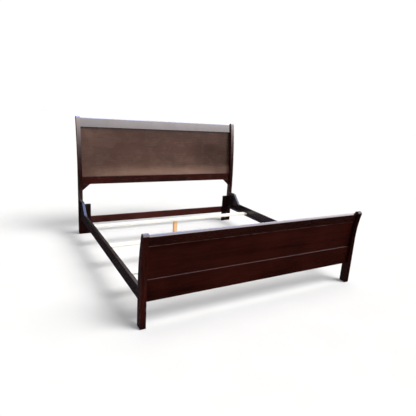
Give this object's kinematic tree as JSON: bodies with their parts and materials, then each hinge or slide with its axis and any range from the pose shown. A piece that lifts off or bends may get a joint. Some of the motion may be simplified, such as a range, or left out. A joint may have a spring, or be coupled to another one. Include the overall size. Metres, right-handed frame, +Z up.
{
  "type": "sleigh bed",
  "caption": "Dark low-footboard sleigh bed frame with curved posts, framed panels, eared side rails, slats and centre support legs.",
  "frame": {"origin": "on the floor under the middle of the bed, at the bottom centre of its box", "axes": "+X to the right seen from the foot end, +Y from the foot towards the head, +Z up"},
  "size_m": [2.04, 2.2874, 1.3297],
  "materials": {
    "cherry_lacquer": "satin",
    "rail_lacquer": "satin",
    "slat_pine": "matte",
    "leg_pine": "matte",
    "zinc_steel": "satin",
    "black_nylon": "matte"
  },
  "bodies": {
    "bed_frame": {"headboard_post_left": "cherry_lacquer", "headboard_post_right": "cherry_lacquer", "headboard_crest_rail": "cherry_lacquer", "headboard_panel": "cherry_lacquer", "headboard_bottom_rail": "cherry_lacquer", "headboard_gusset_left": "cherry_lacquer", "headboard_gusset_right": "cherry_lacquer", "headboard_leg_block_left": "cherry_lacquer", "headboard_leg_block_right": "cherry_lacquer", "headboard_stretcher": "cherry_lacquer", "footboard_post_left": "cherry_lacquer", "footboard_post_right": "cherry_lacquer", "footboard_top_rail": "cherry_lacquer", "footboard_panel": "cherry_lacquer", "footboard_lower_board": "cherry_lacquer", "side_rail_left": "rail_lacquer", "side_rail_right": "rail_lacquer", "slat_cleat_left": "rail_lacquer", "slat_cleat_right": "rail_lacquer", "slat_head": "slat_pine", "slat_middle": "slat_pine", "slat_foot": "slat_pine", "centre_leg_head": "leg_pine", "centre_leg_middle": "leg_pine", "centre_leg_foot": "leg_pine", "block_dowels": "leg_pine", "tee_nuts": "zinc_steel", "rail_hook_plates_headboard": "zinc_steel", "rail_hook_plates_footboard": "zinc_steel", "post_slot_plates_headboard": "zinc_steel", "post_slot_plates_footboard": "zinc_steel", "hook_plate_screws": "zinc_steel", "slot_plate_screws": "zinc_steel", "cleat_screws": "zinc_steel", "slat_screws": "zinc_steel", "leg_screws": "zinc_steel", "stretcher_screws": "zinc_steel", "floor_glides": "black_nylon"},
    "leveller_head": {"leveller_stem_head": "zinc_steel", "leveller_pad_head": "black_nylon"},
    "leveller_middle": {"leveller_stem_middle": "zinc_steel", "leveller_pad_middle": "black_nylon"},
    "leveller_foot": {"leveller_stem_foot": "zinc_steel", "leveller_pad_foot": "black_nylon"}
  },
  "joints": [
    {"name": "leveller_head_screw", "type": "slide", "parent": "bed_frame", "child": "leveller_head", "axis": [0, 0, 1], "range_m": [0, 0.008]},
    {"name": "leveller_middle_screw", "type": "slide", "parent": "bed_frame", "child": "leveller_middle", "axis": [0, 0, 1], "range_m": [0, 0.008]},
    {"name": "leveller_foot_screw", "type": "slide", "parent": "bed_frame", "child": "leveller_foot", "axis": [0, 0, 1], "range_m": [0, 0.008]}
  ]
}
